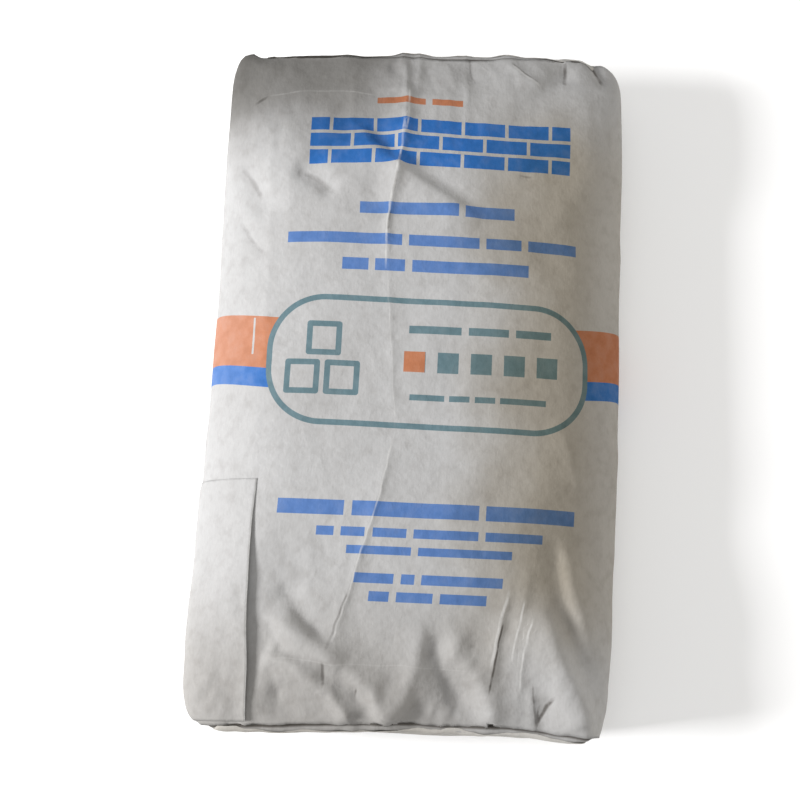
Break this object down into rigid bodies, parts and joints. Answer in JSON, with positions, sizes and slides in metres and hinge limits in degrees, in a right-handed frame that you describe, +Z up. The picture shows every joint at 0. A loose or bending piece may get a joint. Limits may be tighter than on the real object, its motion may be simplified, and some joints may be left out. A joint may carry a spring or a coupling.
{
  "type": "cement bag",
  "caption": "Filled 50 kg cement sack of pasted kraft paper, lying flat, with a gaping seam lap and a puffed valve corner.",
  "frame": {"origin": "on the floor, under the middle of the sack", "axes": "+X across the sack to the right of its printed face, +Y along it towards its valve end, +Z up out of the printed face"},
  "size_m": [0.427, 0.7232, 0.1327],
  "materials": {
    "sack_paper": "matt printed kraft paper, dusty",
    "patch_paper": "matt kraft paper"
  },
  "bodies": {
    "root": {"filled_sack": "sack_paper", "bottom_end_patch": "patch_paper", "top_end_patch": "patch_paper", "seam_lap": "sack_paper"}
  },
  "joints": []
}
